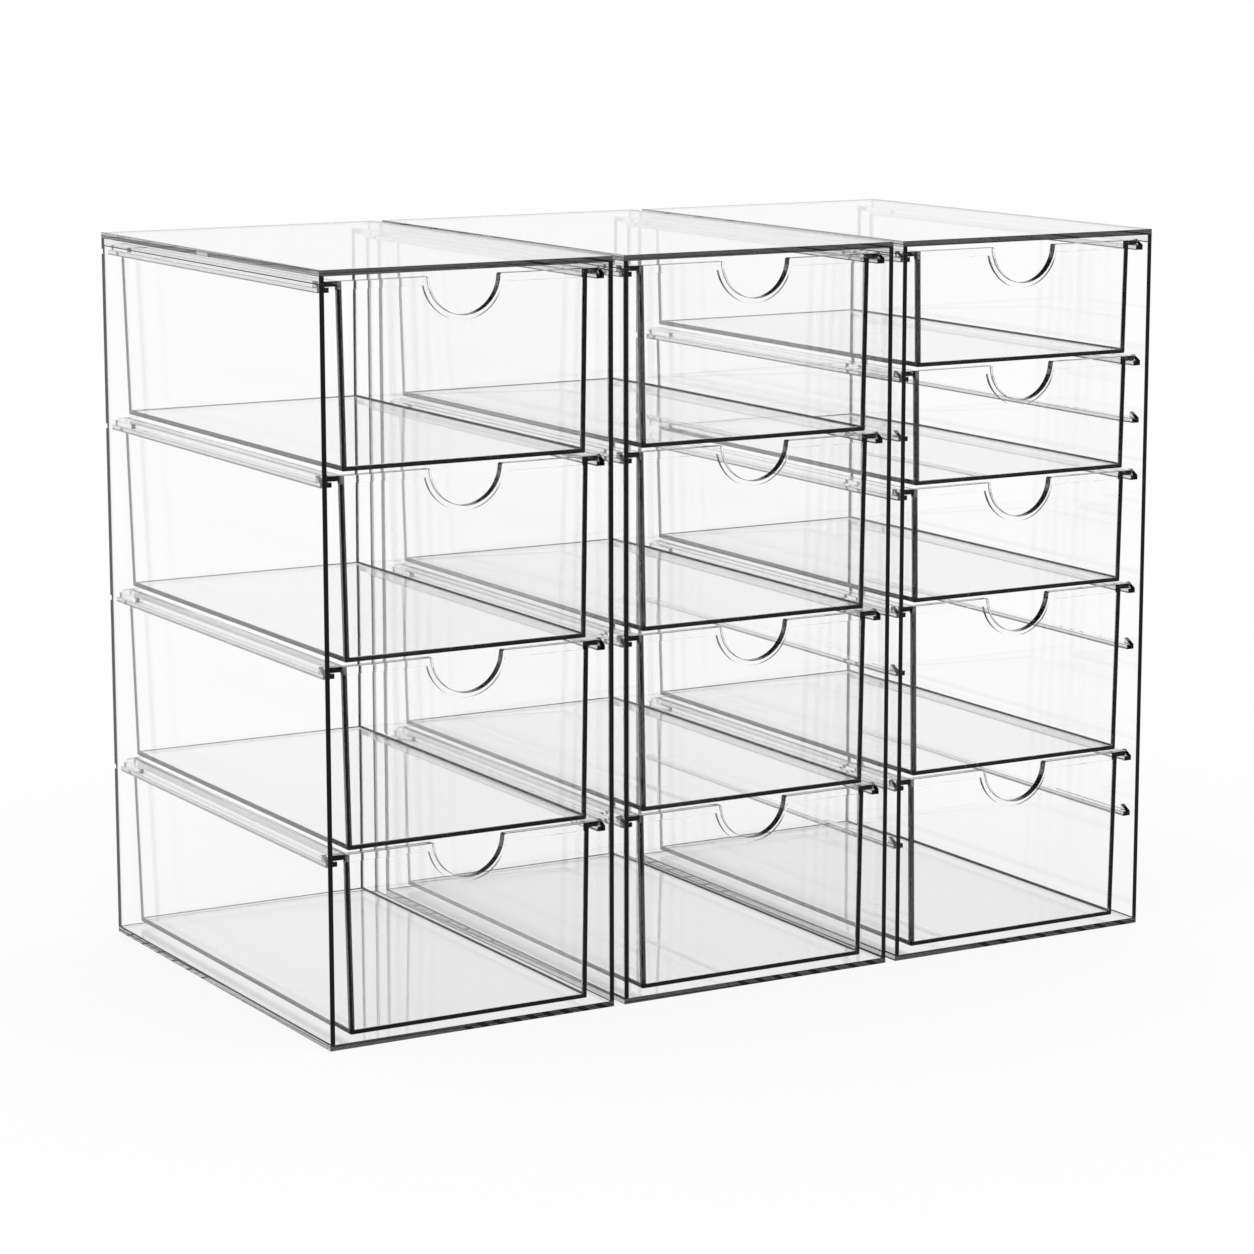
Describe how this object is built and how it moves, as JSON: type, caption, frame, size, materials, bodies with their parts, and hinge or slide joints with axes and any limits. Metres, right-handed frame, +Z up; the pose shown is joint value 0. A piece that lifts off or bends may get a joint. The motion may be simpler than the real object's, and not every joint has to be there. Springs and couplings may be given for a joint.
{
  "type": "clear drawer organizer set",
  "caption": "Free-standing clear cases set side by side, with deep and shallow pull-out drawers that hang on side runners and open by half-round finger notches.",
  "frame": {"origin": "centre of the bounding box's bottom face, on the surface that the cases stand on", "axes": "+Z up, the drawers open towards -Y, +X to the right as seen from the front"},
  "size_m": [0.569, 0.308, 0.4417],
  "materials": {
    "case_sheet": "clear, flame-polished acrylic sheet",
    "runner_strip": "clear acrylic strip, cut edges",
    "drawer_moulding": "clear, glossy moulding"
  },
  "bodies": {
    "cases": {"left_top_cover": "case_sheet", "left_base_panel": "case_sheet", "left_left_side_panel": "case_sheet", "left_right_side_panel": "case_sheet", "left_back_panel": "case_sheet", "left_left_runners": "runner_strip", "left_right_runners": "runner_strip", "middle_top_cover": "case_sheet", "middle_base_panel": "case_sheet", "middle_left_side_panel": "case_sheet", "middle_right_side_panel": "case_sheet", "middle_back_panel": "case_sheet", "middle_left_runners": "runner_strip", "middle_right_runners": "runner_strip", "right_top_cover": "case_sheet", "right_base_panel": "case_sheet", "right_left_side_panel": "case_sheet", "right_right_side_panel": "case_sheet", "right_back_panel": "case_sheet", "right_left_runners": "runner_strip", "right_right_runners": "runner_strip"},
    "left_drawer_1_body": {"left_drawer_1": "drawer_moulding"},
    "left_drawer_2_body": {"left_drawer_2": "drawer_moulding"},
    "left_drawer_3_body": {"left_drawer_3": "drawer_moulding"},
    "left_drawer_4_body": {"left_drawer_4": "drawer_moulding"},
    "middle_drawer_1_body": {"middle_drawer_1": "drawer_moulding"},
    "middle_drawer_2_body": {"middle_drawer_2": "drawer_moulding"},
    "middle_drawer_3_body": {"middle_drawer_3": "drawer_moulding"},
    "middle_drawer_4_body": {"middle_drawer_4": "drawer_moulding"},
    "right_drawer_1_body": {"right_drawer_1": "drawer_moulding"},
    "right_drawer_2_body": {"right_drawer_2": "drawer_moulding"},
    "right_drawer_3_body": {"right_drawer_3": "drawer_moulding"},
    "right_drawer_4_body": {"right_drawer_4": "drawer_moulding"},
    "right_drawer_5_body": {"right_drawer_5": "drawer_moulding"}
  },
  "joints": [
    {"name": "left_drawer_1_slide", "type": "slide", "parent": "cases", "child": "left_drawer_1_body", "axis": [0, -1, 0], "range_m": [0, 0.26]},
    {"name": "left_drawer_2_slide", "type": "slide", "parent": "cases", "child": "left_drawer_2_body", "axis": [0, -1, 0], "range_m": [0, 0.26]},
    {"name": "left_drawer_3_slide", "type": "slide", "parent": "cases", "child": "left_drawer_3_body", "axis": [0, -1, 0], "range_m": [0, 0.26]},
    {"name": "left_drawer_4_slide", "type": "slide", "parent": "cases", "child": "left_drawer_4_body", "axis": [0, -1, 0], "range_m": [0, 0.26]},
    {"name": "middle_drawer_1_slide", "type": "slide", "parent": "cases", "child": "middle_drawer_1_body", "axis": [0, -1, 0], "range_m": [0, 0.26]},
    {"name": "middle_drawer_2_slide", "type": "slide", "parent": "cases", "child": "middle_drawer_2_body", "axis": [0, -1, 0], "range_m": [0, 0.26]},
    {"name": "middle_drawer_3_slide", "type": "slide", "parent": "cases", "child": "middle_drawer_3_body", "axis": [0, -1, 0], "range_m": [0, 0.26]},
    {"name": "middle_drawer_4_slide", "type": "slide", "parent": "cases", "child": "middle_drawer_4_body", "axis": [0, -1, 0], "range_m": [0, 0.26]},
    {"name": "right_drawer_1_slide", "type": "slide", "parent": "cases", "child": "right_drawer_1_body", "axis": [0, -1, 0], "range_m": [0, 0.26]},
    {"name": "right_drawer_2_slide", "type": "slide", "parent": "cases", "child": "right_drawer_2_body", "axis": [0, -1, 0], "range_m": [0, 0.26]},
    {"name": "right_drawer_3_slide", "type": "slide", "parent": "cases", "child": "right_drawer_3_body", "axis": [0, -1, 0], "range_m": [0, 0.26]},
    {"name": "right_drawer_4_slide", "type": "slide", "parent": "cases", "child": "right_drawer_4_body", "axis": [0, -1, 0], "range_m": [0, 0.26]},
    {"name": "right_drawer_5_slide", "type": "slide", "parent": "cases", "child": "right_drawer_5_body", "axis": [0, -1, 0], "range_m": [0, 0.26]}
  ]
}
